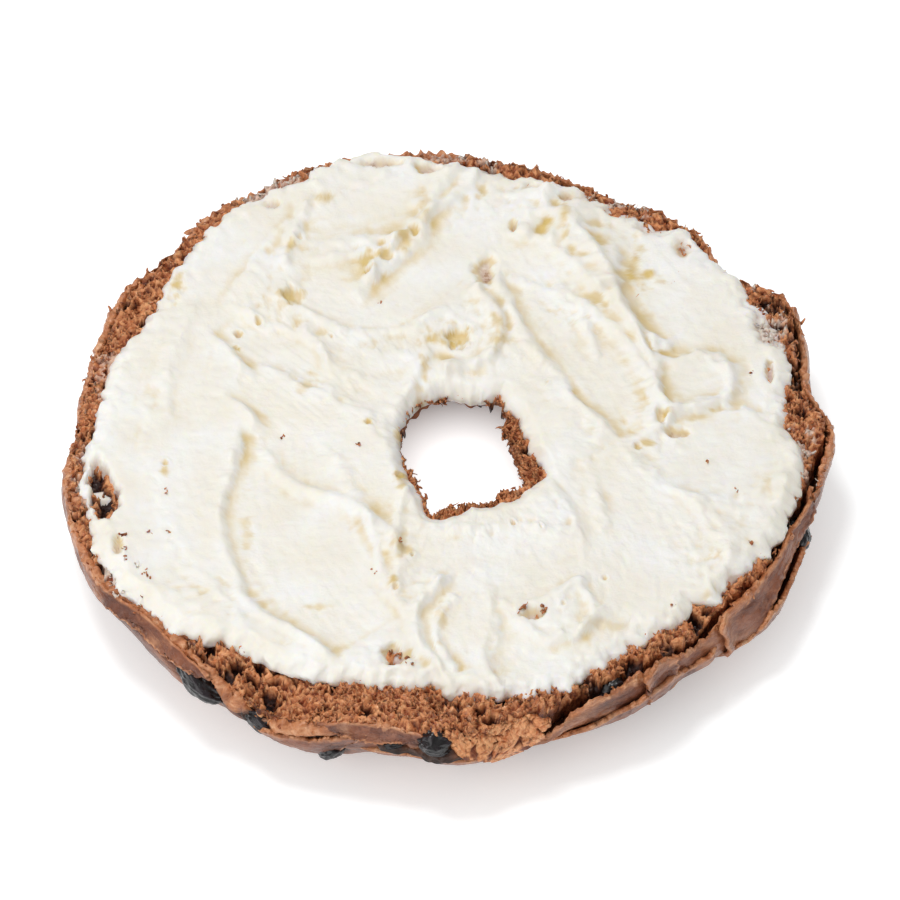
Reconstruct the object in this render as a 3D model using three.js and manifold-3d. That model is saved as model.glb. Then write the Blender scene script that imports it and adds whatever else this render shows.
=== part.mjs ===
// One half of a round bagel, cut face up and spread with cream cheese, with raisins baked into its crust.
// Units are millimetres and +Z is up. The flat baked base lies on z = 0, and the ring is centred on the Z axis.
import * as THREE from "three";
import { mergeVertices } from "three/addons/utils/BufferGeometryUtils.js";
import Module from "manifold-3d";

// Driving dimensions
const CRUST_RADIUS = 53; // mean radius of the crust at the cut
const CUT_HEIGHT = 15.5; // from the flat base to the cut face
const HOLE_RADIUS = 8.6; // mean radius of the hole at the cut
const HOLE_CENTRE = new THREE.Vector2(1.7, -2.4); // hand-shaped rings have their hole a little off centre
const SPREAD_RADIUS = 50; // mean radius of the cheese's outer edge
const SPREAD_DEPTH = 2.2; // mean depth of the cheese
const STROKE_DEPTH = 0.45; // half the difference between a knife stroke's ridge and its hollow
const SPREAD_LIP = 0.8; // how far the cheese stays back from the hole's edge
const GAP = 0.3; // clear space between pieces that touch
const RING_STEPS = 96; // divisions round the ring

// Rises and dips of an edge: direction in degrees, half-width in degrees, and distance outwards.
const CRUST_LOBES = [
  { at: 2, wide: 7, out: 2.4 },
  { at: 26, wide: 9, out: 2.8 },
  { at: 65, wide: 16, out: -1.6 },
  { at: 106, wide: 20, out: 3.1 },
  { at: 205, wide: 30, out: 3.6 },
  { at: 243, wide: 10, out: 2.4 },
  { at: 271, wide: 8, out: 2.4 },
  { at: 322, wide: 10, out: -2.6 },
  { at: 219, wide: 9, out: -1.5 },
  { at: 240, wide: 8, out: -0.8 },
  { at: 306, wide: 9, out: -1.6 },
];
const HOLE_LOBES = [
  { at: 75, wide: 30, out: 1.6 },
  { at: 250, wide: 15, out: 2.0 },
  { at: 322, wide: 14, out: 1.6 },
];
const SPREAD_LOBES = [
  { at: 55, wide: 22, out: 1.0 },
  { at: 105, wide: 22, out: 4.6 },
  { at: 210, wide: 16, out: 5.0 },
  { at: 267, wide: 12, out: -3.0 },
  { at: 312, wide: 16, out: -2.8 },
];
const BARE_CRUMB_LOBES = [{ at: 300, wide: 50, out: 2.6 }]; // the strip of crumb left bare beside the hole

// The bread's section. across is 0 at the hole's edge and 1 at the crust, and up is 0 at the base and 1 at the cut.
// From a thin lip at the hole it falls to the flat base, and then the crust rises and swells under the cut.
const BREAD_SECTION = [
  { across: 0.02, up: 0.9 },
  { across: 0.17, up: 0.45 },
  { across: 0.33, up: 0.08 },
  { across: 0.42, up: 0 },
  { across: 0.754, up: 0 },
  { across: 0.802, up: 0.1 },
  { across: 0.867, up: 0.25 },
  { across: 0.922, up: 0.4 },
  { across: 0.965, up: 0.55 },
  { across: 0.995, up: 0.7 },
  { across: 1.004, up: 0.84 },
  { across: 1.0, up: 0.97 },
  { across: 0.985, up: 1 },
  { across: 0.65, up: 1 },
  { across: 0.3, up: 1 },
  { across: 0, up: 1 },
];

// The cheese's section. across is 0 at its inner edge and 1 at its outer edge, and up is 0 under it and 1 on top.
const SPREAD_SECTION = [
  { across: 0.99, up: 0 },
  { across: 1.0, up: 0.4 },
  { across: 0.97, up: 0.8 },
  { across: 0.9, up: 1 },
  { across: 0.72, up: 1 },
  { across: 0.52, up: 1 },
  { across: 0.32, up: 1 },
  { across: 0.12, up: 1 },
  { across: 0.03, up: 0.85 },
  { across: 0, up: 0.45 },
  { across: 0, up: 0 },
];

// Raisins that show in the crust: direction in degrees, height of the middle, length round the ring, height,
// depth into the bread, how far the middle lies inside the crust, and roll in degrees.
const RAISINS = [
  { at: 230, up: 11.8, long: 8.6, tall: 5.0, deep: 5.6, sunk: 1.0, roll: -24 },
  { at: 241, up: 10.8, long: 4.8, tall: 3.2, deep: 4.0, sunk: 0.8, roll: -12 },
  { at: 251.5, up: 7.2, long: 4.2, tall: 3.0, deep: 4.0, sunk: 0.8, roll: 20 },
  { at: 261.5, up: 11.2, long: 4.2, tall: 2.2, deep: 3.6, sunk: 0.6, roll: 4 },
  { at: 268, up: 12.8, long: 5.4, tall: 4.4, deep: 5.0, sunk: 1.0, roll: -14 },
  { at: 297, up: 12.4, long: 4.4, tall: 3.4, deep: 4.0, sunk: 1.4, roll: 30 },
  { at: 342.5, up: 11.4, long: 4.6, tall: 4.2, deep: 4.6, sunk: 1.0, roll: 60 },
  { at: 15, up: 9.4, long: 5.4, tall: 4.2, deep: 4.6, sunk: 1.4, roll: -20 },
  { at: 52, up: 7.4, long: 6.6, tall: 4.8, deep: 5.0, sunk: 1.6, roll: 24 },
  { at: 97, up: 9.6, long: 5.6, tall: 4.6, deep: 4.8, sunk: 1.5, roll: -35 },
  { at: 138, up: 6.4, long: 7.0, tall: 4.6, deep: 5.0, sunk: 1.6, roll: 10 },
  { at: 183, up: 8.6, long: 5.2, tall: 4.4, deep: 4.6, sunk: 1.4, roll: -50 },
];

const breadMaterial = new THREE.MeshStandardMaterial({ color: 0x6b4438, roughness: 0.6, metalness: 0 });
const cheeseMaterial = new THREE.MeshStandardMaterial({ color: 0xf4f0e6, roughness: 0.45, metalness: 0 });
const raisinMaterial = new THREE.MeshStandardMaterial({ color: 0x2c2427, roughness: 0.3, metalness: 0 });

const wasm = await Module();
wasm.setup();

// The sum of the rises and dips in one direction, given in radians.
function lobeSum(lobes, angle) {
  const degrees = THREE.MathUtils.radToDeg(angle);
  return lobes.reduce((sum, lobe) => {
    const turn = THREE.MathUtils.euclideanModulo(degrees - lobe.at + 180, 360) - 180;
    return sum + lobe.out * Math.exp(-((turn / lobe.wide) ** 2));
  }, 0);
}

const crustRadius = (angle) => CRUST_RADIUS + lobeSum(CRUST_LOBES, angle);
const holeRadius = (angle) => HOLE_RADIUS + lobeSum(HOLE_LOBES, angle);
const spreadOuterRadius = (angle) =>
  Math.min(SPREAD_RADIUS + lobeSum(SPREAD_LOBES, angle), crustRadius(angle) - GAP);
const spreadInnerRadius = (angle) =>
  holeRadius(angle) + SPREAD_LIP + lobeSum(BARE_CRUMB_LOBES, angle);

// The point at a share of the way across the ring, from an inner edge round the hole to an outer edge.
function acrossRing(angle, across, innerRadius, outerRadius) {
  const radius = THREE.MathUtils.lerp(innerRadius(angle), outerRadius(angle), across);
  const centre = HOLE_CENTRE.clone().multiplyScalar(1 - across);
  return new THREE.Vector2(Math.cos(angle), Math.sin(angle)).multiplyScalar(radius).add(centre);
}

// A ring of the given section, with its edges bent to follow the two radii and its points lifted by heightAt.
function ringGeometry(section, innerRadius, outerRadius, heightAt) {
  const closed = [...section, section[0]];
  const profile = closed.map((point) => new THREE.Vector2(1 + point.across, point.up));
  const ring = new THREE.LatheGeometry(profile, RING_STEPS).rotateX(Math.PI / 2);
  ring.deleteAttribute("normal");
  ring.deleteAttribute("uv");
  const merged = mergeVertices(ring);
  const places = merged.getAttribute("position");
  for (let i = 0; i < places.count; i += 1) {
    const angle = Math.atan2(places.getY(i), places.getX(i));
    const across = Math.hypot(places.getX(i), places.getY(i)) - 1;
    const spot = acrossRing(angle, across, innerRadius, outerRadius);
    places.setXYZ(i, spot.x, spot.y, heightAt(places.getZ(i), angle, across));
  }
  return merged;
}

// The bread's height: flat at the base and at the cut.
const breadHeight = (up) => up * CUT_HEIGHT;

// The cheese's height: a flat underside just above the cut, and curved knife strokes on top.
function cheeseHeight(up, angle, across) {
  const strokes = Math.sin(4 * angle + 7 * across) * 0.6 + Math.sin(7 * angle - 4 * across) * 0.4;
  return CUT_HEIGHT + GAP + up * (SPREAD_DEPTH + STROKE_DEPTH * strokes);
}

// How far out the crust is at a height, as a share of the way across the ring.
function crustAcross(height) {
  const up = height / CUT_HEIGHT;
  const wall = BREAD_SECTION.filter((point) => point.across > 0.8 && point.up < 1);
  const above = wall.findIndex((point) => point.up > up);
  const [low, high] = [wall[above - 1], wall[above]];
  return THREE.MathUtils.mapLinear(up, low.up, high.up, low.across, high.across);
}

// A dried fruit: a rounded body with a few long wrinkles, of full size long x tall x deep, plus extra all over.
function raisinGeometry(raisin, extra) {
  const body = new THREE.SphereGeometry(0.5, 10, 6);
  body.deleteAttribute("normal");
  body.deleteAttribute("uv");
  const merged = mergeVertices(body);
  const places = merged.getAttribute("position");
  for (let i = 0; i < places.count; i += 1) {
    const place = new THREE.Vector3().fromBufferAttribute(places, i);
    const wrinkle = 1 + 0.05 * Math.sin(5 * Math.atan2(place.z, place.x) + raisin.at);
    place.multiplyScalar(wrinkle);
    places.setXYZ(i, place.x, place.y, place.z);
  }
  return merged.scale(raisin.long + 2 * extra, raisin.tall + 2 * extra, raisin.deep + 2 * extra);
}

// Puts a raisin into the crust: x runs round the ring, y up, and z outwards.
function placeRaisin(mesh, raisin) {
  const angle = THREE.MathUtils.degToRad(raisin.at);
  const spot = acrossRing(angle, crustAcross(raisin.up), holeRadius, crustRadius);
  spot.setLength(spot.length() - raisin.sunk);
  mesh.position.set(spot.x, spot.y, raisin.up);
  mesh.rotation.set(Math.PI / 2, angle + Math.PI / 2, THREE.MathUtils.degToRad(raisin.roll), "XYZ");
  mesh.updateMatrix();
  return mesh;
}

// A geometry with shared corners as a solid for cutting and joining.
function solidOf(geometry) {
  return new wasm.Manifold(
    new wasm.Mesh({
      numProp: 3,
      vertProperties: geometry.getAttribute("position").array,
      triVerts: new Uint32Array(geometry.index.array),
    }),
  );
}

// A solid as a geometry.
function geometryOf(solid) {
  const { vertProperties, triVerts } = solid.getMesh();
  return new THREE.BufferGeometry()
    .setAttribute("position", new THREE.BufferAttribute(vertProperties, 3))
    .setIndex(new THREE.BufferAttribute(triVerts, 1));
}

function namedMesh(name, geometry, material) {
  geometry.computeVertexNormals();
  const mesh = new THREE.Mesh(geometry, material);
  mesh.name = name;
  return mesh;
}

// The baked dough, crust and crumb in one, with a socket for each raisin.
function makeBagelHalf() {
  const ring = solidOf(ringGeometry(BREAD_SECTION, holeRadius, crustRadius, breadHeight));
  const bread = RAISINS.reduce((dough, raisin) => {
    const socket = placeRaisin(new THREE.Mesh(raisinGeometry(raisin, GAP)), raisin);
    return dough.subtract(solidOf(socket.geometry.applyMatrix4(socket.matrix)));
  }, ring);
  return namedMesh("bagel_half", geometryOf(bread), breadMaterial);
}

function makeCreamCheese() {
  const layer = ringGeometry(SPREAD_SECTION, spreadInnerRadius, spreadOuterRadius, cheeseHeight);
  return namedMesh("cream_cheese", layer, cheeseMaterial);
}

function makeRaisin(raisin, index) {
  const mesh = namedMesh(`raisin_${index + 1}`, raisinGeometry(raisin, 0), raisinMaterial);
  return placeRaisin(mesh, raisin);
}

const bagel = new THREE.Group();
bagel.add(makeBagelHalf(), makeCreamCheese(), ...RAISINS.map(makeRaisin));

export default bagel;
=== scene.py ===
import itertools
import math
import bpy
import bmesh
import numpy as np
from mathutils import Matrix, Vector


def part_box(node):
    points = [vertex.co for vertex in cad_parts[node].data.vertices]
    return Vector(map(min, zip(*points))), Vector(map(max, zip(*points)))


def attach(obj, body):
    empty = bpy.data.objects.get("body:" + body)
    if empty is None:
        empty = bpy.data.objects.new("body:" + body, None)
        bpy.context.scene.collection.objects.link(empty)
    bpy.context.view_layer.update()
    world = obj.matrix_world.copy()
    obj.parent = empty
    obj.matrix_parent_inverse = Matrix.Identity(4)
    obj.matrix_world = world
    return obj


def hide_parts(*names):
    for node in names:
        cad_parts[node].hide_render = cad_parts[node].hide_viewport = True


# A bagel half, cut face up, under knife-spread cream cheese. Shapes are worked out in millimetres
# and turned to metres when a mesh is filled.
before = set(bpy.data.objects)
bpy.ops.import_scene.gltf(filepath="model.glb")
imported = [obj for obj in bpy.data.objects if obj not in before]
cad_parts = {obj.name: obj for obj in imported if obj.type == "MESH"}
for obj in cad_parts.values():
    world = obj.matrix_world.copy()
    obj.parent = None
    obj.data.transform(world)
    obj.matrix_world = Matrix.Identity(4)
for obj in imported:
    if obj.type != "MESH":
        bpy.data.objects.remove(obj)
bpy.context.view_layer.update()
mm = 0.001
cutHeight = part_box("bagel_half")[1].z / mm  # the top of the bread's box
print("frame loaded, cut face at", round(cutHeight, 2), "mm")

# How the ring was shaped by hand. A lobe is (direction in degrees, half-width in degrees, rise outwards).
ringShape = {
    "crustRadius": 53,
    "holeCentre": (1.7, -2.4),
    "rimPath": 54, "holePath": 10,  # circles along which the torn edges' noise is read
    "crustLobes": [
        (1, 6, 2.4), (24, 8, 2.4), (65, 16, -1.6), (106, 20, 3.1), (205, 30, 3.6), (243, 10, 2.4),
        (271, 8, 2.4), (322, 10, -1.5), (350, 6, 0.9), (219, 8, -2.1), (306, 9, -1.6), (240, 8, -0.8),
        (130, 8, 1.1), (150, 9, 1.6), (179, 6, -0.8), (75, 9, 0.8), (52, 6, 0.9), (37, 5.5, -2.2),
        (29, 4.5, 0.8), (10, 6, -0.6), (339, 7, -0.8),
    ],
    # the hole's torn outline: direction from its centre and radius
    "hole": [
        (25, 6.4), (45, 8.8), (59, 10.2), (71, 8.6), (84, 8.1), (97, 9.3), (115, 9.4), (141, 9),
        (163, 8.8), (190, 8.2), (216, 9), (238, 10.1), (251, 13.2), (262, 11.6), (278, 9.8), (293, 10.9),
        (309, 10.3), (315, 11.9), (334, 9.2), (350, 7),
    ],
}


def smoothStep(low, high, values):
    share = np.clip((values - low) / (high - low), 0, 1)
    return share * share * (3 - 2 * share)


def hump(values, wide):
    return np.exp(-((values / wide) ** 2))


def turnFrom(angle, at):
    # degrees round the ring from a direction, running both ways from 0
    return (np.degrees(angle) - at + 180) % 360 - 180


def outlineRadius(outline, angle):
    at, reach = zip(*outline)
    return np.interp(np.degrees(angle) % 360, at, reach, period=360)


def lobeSum(lobes, angle):
    return sum(out * hump(turnFrom(angle, at), wide) for at, wide, out in lobes)


def awayFrom(x, y, spot):
    # distance from the middle of an oval spot, 1 on its outline: x, y, half-width, half-height
    return np.hypot((x - spot[0]) / spot[2], (y - spot[1]) / spot[3])


def onFloor(x, y):
    # points for the noise at one height, so that it doesn't change upwards
    return np.stack([x, y, np.zeros_like(x)], 1)


def pushOut(points, angle, distance):
    points[:, 0] += np.cos(angle) * distance
    points[:, 1] += np.sin(angle) * distance


# Noise is worked out for all points at once, on a lattice whose cells look up a shuffled table.
latticeSize = 4096  # a power of two, so that a cell's number can wrap round by its last bits
shuffled = np.random.default_rng(11)
latticeOrder = shuffled.permutation(latticeSize)
latticeSlopes = shuffled.normal(size=(latticeSize, 3))
latticeSlopes /= np.linalg.norm(latticeSlopes, axis=1)[:, None]
latticeSpots = shuffled.random((latticeSize, 3))


def latticeEntry(cell):
    entry = latticeOrder[cell[:, 0] & (latticeSize - 1)]
    entry = latticeOrder[(entry + cell[:, 1]) & (latticeSize - 1)]
    return latticeOrder[(entry + cell[:, 2]) & (latticeSize - 1)]


def softNoise(places):
    cell = np.floor(places).astype(np.int64)
    local = places - cell
    fade = local ** 3 * (local * (local * 6 - 15) + 10)
    total = np.zeros(len(places))
    for corner in itertools.product((0, 1), repeat=3):
        weight = np.prod(np.where(np.array(corner) == 1, fade, 1 - fade), axis=1)
        total += weight * ((local - corner) * latticeSlopes[latticeEntry(cell + corner)]).sum(axis=1)
    return total * 1.7


def fractalNoise(points, grain, octaves=3, shift=0.0):
    # grain is the size of the largest features, and the result runs from about -1 to 1
    return sum(softNoise(points * (2 ** octave / grain) + shift * 7.3 + octave * 17.1) / 2 ** octave
               for octave in range(octaves))


def vectorNoise(points, grain, octaves=2, shift=0.0):
    return np.stack([fractalNoise(points, grain, octaves, shift + 5.7 * axis) for axis in range(3)], 1)


def cellWalls(points, grain, shift=0.0):
    # 0 on the walls between cells and growing towards the middle of each, as in a foam
    places = points / grain + shift * 7.3
    cell = np.floor(places).astype(np.int64)
    nearest = np.full(len(points), 9.0)
    second = nearest.copy()
    for step in itertools.product((-1, 0, 1), repeat=3):
        other = cell + step
        gap = np.linalg.norm(other + latticeSpots[latticeEntry(other)] - places, axis=1)
        second = np.minimum(second, np.maximum(nearest, gap))
        nearest = np.minimum(nearest, gap)
    return second - nearest


def wander(angle, radius, grain, shift, octaves=3):
    # noise along an edge that closes after a full turn
    return fractalNoise(onFloor(np.cos(angle) * radius, np.sin(angle) * radius), grain, octaves, shift)


def crustRadius(angle):
    return ringShape["crustRadius"] + lobeSum(ringShape["crustLobes"], angle)


def holeRadius(angle):
    return outlineRadius(ringShape["hole"], angle)


def chain(start, *spans):
    # points along straight spans, each given as its end and how many points, without the very last end
    points = []
    for end, count in spans:
        points += [tuple(a + (b - a) * i / count for a, b in zip(start, end)) for i in range(count)]
        start = end
    return points


def getPoints(piece):
    flat = np.empty(len(piece.data.vertices) * 3)
    piece.data.vertices.foreach_get("co", flat)
    return flat.reshape(-1, 3)


def setPoints(piece, points):
    piece.data.vertices.foreach_set("co", points.ravel())
    piece.data.update()


def getNormals(piece):
    flat = np.empty(len(piece.data.vertices) * 3)
    piece.data.vertices.foreach_get("normal", flat)
    return flat.reshape(-1, 3)


def addAttribute(piece, name, values):
    attribute = piece.data.attributes.new(name, "FLOAT", "POINT")
    attribute.data.foreach_set("value", np.clip(values, 0, 1).astype(np.float32))


def neighbourMean(piece, values, rounds):
    # each round swaps a value for the mean of its neighbours' values
    ends = np.empty(len(piece.data.edges) * 2, dtype=np.int64)
    piece.data.edges.foreach_get("vertices", ends)
    ends = ends.reshape(-1, 2)
    starts = np.concatenate([ends[:, 0], ends[:, 1]])
    others = np.concatenate([ends[:, 1], ends[:, 0]])
    count = np.bincount(starts, minlength=len(values))
    for _ in range(rounds):
        values = np.bincount(starts, weights=values[others], minlength=len(values)) / count
    return values


def newPiece(name, bm):
    mesh = bpy.data.meshes.new(name)
    bm.to_mesh(mesh)
    bm.free()
    mesh.shade_smooth()
    piece = bpy.data.objects.new(name, mesh)
    bpy.context.scene.collection.objects.link(piece)
    return piece


def applyModifiers(piece):
    made = piece.evaluated_get(bpy.context.evaluated_depsgraph_get())
    mesh = bpy.data.meshes.new_from_object(made)
    piece.modifiers.clear()
    piece.data = mesh


def faceOutwards(piece):
    bm = bmesh.new()
    bm.from_mesh(piece.data)
    bmesh.ops.recalc_face_normals(bm, faces=bm.faces)
    bm.to_mesh(piece.data)
    bm.free()
    piece.data.shade_smooth()


def spinRing(name, section, steps):
    # section holds (across, up): across is 0 at the hole's edge and 1 at the outer edge, up is a height
    bm = bmesh.new()
    corners = [bm.verts.new((1 + across, 0, up)) for across, up in section]
    for pair in zip(corners, corners[1:] + corners[:1]):
        bm.edges.new(pair)
    piece = newPiece(name, bm)
    ring = piece.modifiers.new("ring", "SCREW")
    ring.steps = ring.render_steps = steps
    ring.use_merge_vertices = True
    ring.merge_threshold = 1e-5
    applyModifiers(piece)
    faceOutwards(piece)
    points = getPoints(piece)
    angle = np.arctan2(points[:, 1], points[:, 0])
    across = np.hypot(points[:, 0], points[:, 1]) - 1
    return piece, angle, across, points[:, 2].copy()


def acrossRing(angle, across, inner, outer):
    # x and y at a share of the way from the hole's edge to the outer edge, both given as radii
    radius = inner + (outer - inner) * across
    centreX, centreY = ringShape["holeCentre"]
    return (np.cos(angle) * radius + centreX * (1 - across),
            np.sin(angle) * radius + centreY * (1 - across))


def curvePoints(corners, perSpan=8):
    # a smooth line through a few corners
    ends = [2 * np.array(corners[0]) - np.array(corners[1]), *map(np.array, corners),
            2 * np.array(corners[-1]) - np.array(corners[-2])]
    line = []
    for before, start, end, after in zip(ends, ends[1:], ends[2:], ends[3:]):
        for t in np.arange(perSpan) / perSpan:
            line.append(0.5 * (2 * start + (end - before) * t
                               + (2 * before - 5 * start + 4 * end - after) * t * t
                               + (3 * start - before - 3 * end + after) * t ** 3))
    return np.array([*line, ends[-2]])


def alongLine(line, x, y):
    # signed distance from a line (left of its direction is positive) and the share of its length
    best = np.full(len(x), 1e9)
    side = np.zeros(len(x))
    share = np.zeros(len(x))
    beyond = np.zeros(len(x))
    for i, (start, end) in enumerate(zip(line, line[1:])):
        step = end - start
        length = np.hypot(*step)
        t = ((x - start[0]) * step[0] + (y - start[1]) * step[1]) / length ** 2
        held = np.clip(t, 0, 1)
        gapX = x - start[0] - held * step[0]
        gapY = y - start[1] - held * step[1]
        gap = np.hypot(gapX, gapY)
        closer = gap < best
        best[closer] = gap[closer]
        across = (step[0] * gapY - step[1] * gapX) / length
        side[closer] = np.where(across >= 0, gap, -gap)[closer]
        share[closer] = ((i + held) / (len(line) - 1))[closer]
        beyond[closer] = (np.abs(t - held) * length)[closer]
    return side, share, beyond


def linearColour(text):
    # an sRGB hex colour as the linear one that a socket takes
    parts = [int(text[i:i + 2], 16) / 255 for i in (1, 3, 5)]
    return (*[c / 12.92 if c <= 0.04045 else ((c + 0.055) / 1.055) ** 2.4 for c in parts], 1.0)


def addNode(material, kind, inputs=(), output=0, stops=(), **settings):
    # inputs go by a socket's name or number, or in the sockets' order: values, hex colours or other outputs
    node = material.node_tree.nodes.new("ShaderNode" + kind)
    for key, value in settings.items():
        setattr(node, key, value)
    for key, value in inputs.items() if isinstance(inputs, dict) else enumerate(inputs):
        if isinstance(value, bpy.types.NodeSocket):
            material.node_tree.links.new(value, node.inputs[key])
        else:
            node.inputs[key].default_value = linearColour(value) if isinstance(value, str) else value
    if stops:
        first, *between, last = stops
        elements = node.color_ramp.elements
        elements[0].position, elements[0].color = first[0], linearColour(first[1])
        elements[1].position, elements[1].color = last[0], linearColour(last[1])
        for place, colour in between:
            elements.new(place).color = linearColour(colour)
    return node.outputs[output] if node.outputs else node


def newMaterial(name):
    material = bpy.data.materials.new(name)
    material.use_nodes = True
    material.node_tree.nodes.clear()
    return material


def grainPattern(material, size, detail=4, roughness=0.55, squash=(1, 1, 1), distortion=0):
    # size is the width in mm of the pattern's largest features
    place = addNode(material, "TexCoord", output="Object")
    scaled = addNode(material, "Mapping", {"Vector": place, "Scale": [s / (size * mm) for s in squash]})
    return addNode(material, "TexNoise", {"Vector": scaled, "Scale": 1, "Detail": detail,
                                          "Roughness": roughness, "Distortion": distortion})


def paintWhere(material, colour, layers):
    # each layer is painted over the last, where its attribute says: attribute, colour, way of mixing
    for name, paint, blend in layers:
        share = addNode(material, "Attribute", output="Fac", attribute_name=name)
        colour = addNode(material, "Mix", {0: share, 6: colour, 7: paint}, 2,
                         data_type="RGBA", blend_type=blend)
    return colour


def paintPatches(material, colour, patches):
    # each patch is painted over the last, where its pattern is high: pattern, low, high, full share, colour
    for pattern, low, high, full, paint in patches:
        share = addNode(material, "MapRange", [pattern, low, high, 0, full])
        colour = addNode(material, "Mix", {0: share, 6: colour, 7: paint}, 2, data_type="RGBA")
    return colour


def roughen(material, reliefs):
    # one bump over another, each given as its pattern, its real height in mm and its strength
    under = {}
    for pattern, depth, strength in reliefs:
        inputs = {"Height": pattern, "Distance": depth * mm, "Strength": strength, **under}
        under["Normal"] = addNode(material, "Bump", inputs)
    return under["Normal"]


def finishMaterial(material, inputs):
    shader = addNode(material, "BsdfPrincipled", inputs)
    addNode(material, "OutputMaterial", {"Surface": shader})
    return material


def makeCrustMaterial():
    # Bread crust, browned and set hard in the oven: a dark satin skin, rubbed orange-brown where it is torn.
    material = newMaterial("bakedCrust")
    clouds = grainPattern(material, 7, 5, 0.6)
    streaks = grainPattern(material, 2.2, 6, 0.65, (1, 1, 2.2), 0.6)
    specks = grainPattern(material, 0.8, 3, 0.5, (1, 1, 0.6))
    patches = grainPattern(material, 11, 4, 0.6, (1, 1, 1.5), 1)
    creases = grainPattern(material, 3.5, 5, 0.6, (0.6, 0.6, 1.8), 1.5)
    fine = grainPattern(material, 0.6, 5, 0.65)
    skin = addNode(material, "ValToRGB", [clouds],
                   stops=[(0.3, "#512c20"), (0.45, "#75432f"), (0.57, "#8e553b"), (0.7, "#a86c4c")])
    rubbed = addNode(material, "ValToRGB", [streaks],
                     stops=[(0.3, "#9e5a35"), (0.5, "#c98254"), (0.7, "#ebb58a")])
    baked = paintPatches(material, skin, [
        (streaks, 0.5, 0.7, 0.6, "#b87a58"), (specks, 0.62, 0.7, 0.55, "#5a2f22"),
        (patches, 0.5, 0.68, 0.55, "#4a2c26"),
    ])
    # painted shade: the crevices under the folds, the gaps round the raisins and the trench behind the rim
    # are darkened almost to black
    colour = paintWhere(material, baked, [("worn", rubbed, "MIX"), ("creviceShade", "#1c0d0a", "MIX")])
    return finishMaterial(material, {
        "Base Color": colour, "Roughness": addNode(material, "MapRange", [streaks, 0.3, 0.7, 0.26, 0.5]),
        "Normal": roughen(material, [(creases, 0.9, 0.9), (fine, 0.16, 0.8)]),
        "IOR": 1.45, "Coat Weight": 0.3, "Coat Roughness": 0.2,
    })


def makeCrumbMaterial():
    # Open crumb, torn by the knife: red-brown cell walls, moist and slightly shiny, with painted shade in the
    # cells and painted highlights on the tips.
    material = newMaterial("openCrumb")
    fibres = grainPattern(material, 0.9, 5, 0.65, (1, 1, 1), 1.2)
    tone = grainPattern(material, 5, 3, 0.5)
    walls = addNode(material, "ValToRGB", [fibres],
                    stops=[(0.3, "#532210"), (0.48, "#9a4827"), (0.6, "#c76e3e"), (0.72, "#f2ad78")])
    # painted highlight: a lighter copy of the cell walls for the tips that stand up to the light
    paintedHighlight = addNode(material, "ValToRGB", [fibres], stops=[(0.35, "#c66d39"), (0.6, "#f7b37d")])
    toned = paintPatches(material, walls, [(tone, 0.35, 0.65, 0.4, "#823b22")])
    # the tips get the painted highlight, the cells painted shade, then the smeared cheese goes on top
    colour = paintWhere(material, toned, [
        ("tipHighlight", paintedHighlight, "LIGHTEN"), ("poreShade", "#2c1009", "MIX"), ("smear", "#f1e9de", "MIX"),
    ])
    return finishMaterial(material, {
        "Base Color": colour, "Roughness": addNode(material, "MapRange", [fibres, 0.35, 0.7, 0.5, 0.24]),
        "Normal": roughen(material, [(fibres, 0.4, 0.9)]),
        "IOR": 1.45, "Specular IOR Level": 0.4, "Coat Weight": 0.1, "Coat Roughness": 0.12,
        "Subsurface Weight": 0.08, "Subsurface Radius": (1, 0.45, 0.25), "Subsurface Scale": 0.6 * mm,
    })


def makeCheeseMaterial():
    # Cream cheese, whipped fat and water: soft ivory, a painted yellow shade in its hollows, a moist gloss.
    material = newMaterial("creamCheese")
    tone = grainPattern(material, 9, 3, 0.5)
    curds = grainPattern(material, 1.6, 5, 0.6)
    fine = grainPattern(material, 0.45, 4, 0.6)
    ivory = addNode(material, "ValToRGB", [tone],
                    stops=[(0.35, "#f4efe3"), (0.5, "#f7f3ea"), (0.65, "#faf8f3")])
    film = addNode(material, "ValToRGB", [curds],
                   stops=[(0.38, "#9c6752"), (0.45, "#c9afa6"), (0.6, "#e0d5cf")])
    # painted shade: the hollows and the painted shadows are tinted yellow; thin places show the crumb through
    # the cheese
    colour = paintWhere(material, ivory, [("hollow", "#dcc079", "MIX"), ("thin", film, "MIX")])
    return finishMaterial(material, {
        "Base Color": colour, "Roughness": addNode(material, "MapRange", [curds, 0.35, 0.65, 0.42, 0.58]),
        "Normal": roughen(material, [(curds, 0.22, 0.6), (fine, 0.05, 0.5)]),
        "IOR": 1.4, "Subsurface Weight": 0.35, "Subsurface Radius": (1, 0.8, 0.45),
        "Subsurface Scale": 1.2 * mm,
    })


def makeRaisinMaterial():
    # Raisin skin, dried and baked: black-brown, sticky and glossy, with a thin grey bloom on its ridges.
    material = newMaterial("raisinSkin")
    blotches = grainPattern(material, 1.6, 5, 0.6, (1, 1, 1), 0.8)
    skin = addNode(material, "ValToRGB", [blotches],
                   stops=[(0.35, "#070505"), (0.55, "#120d0f"), (0.72, "#292024")])
    colour = paintWhere(material, skin, [("ridge", "#241b20", "MIX")])
    return finishMaterial(material, {
        "Base Color": colour, "Roughness": addNode(material, "MapRange", [blotches, 0.3, 0.7, 0.1, 0.26]),
        "Normal": roughen(material, [(blotches, 0.35, 0.8)]),
        "IOR": 1.45, "Specular IOR Level": 0.35, "Coat Weight": 0.5, "Coat Roughness": 0.04,
    })


crustMaterial = makeCrustMaterial()
crumbMaterial = makeCrumbMaterial()
cheeseMaterial = makeCheeseMaterial()
raisinMaterial = makeRaisinMaterial()
print("materials made")

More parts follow.
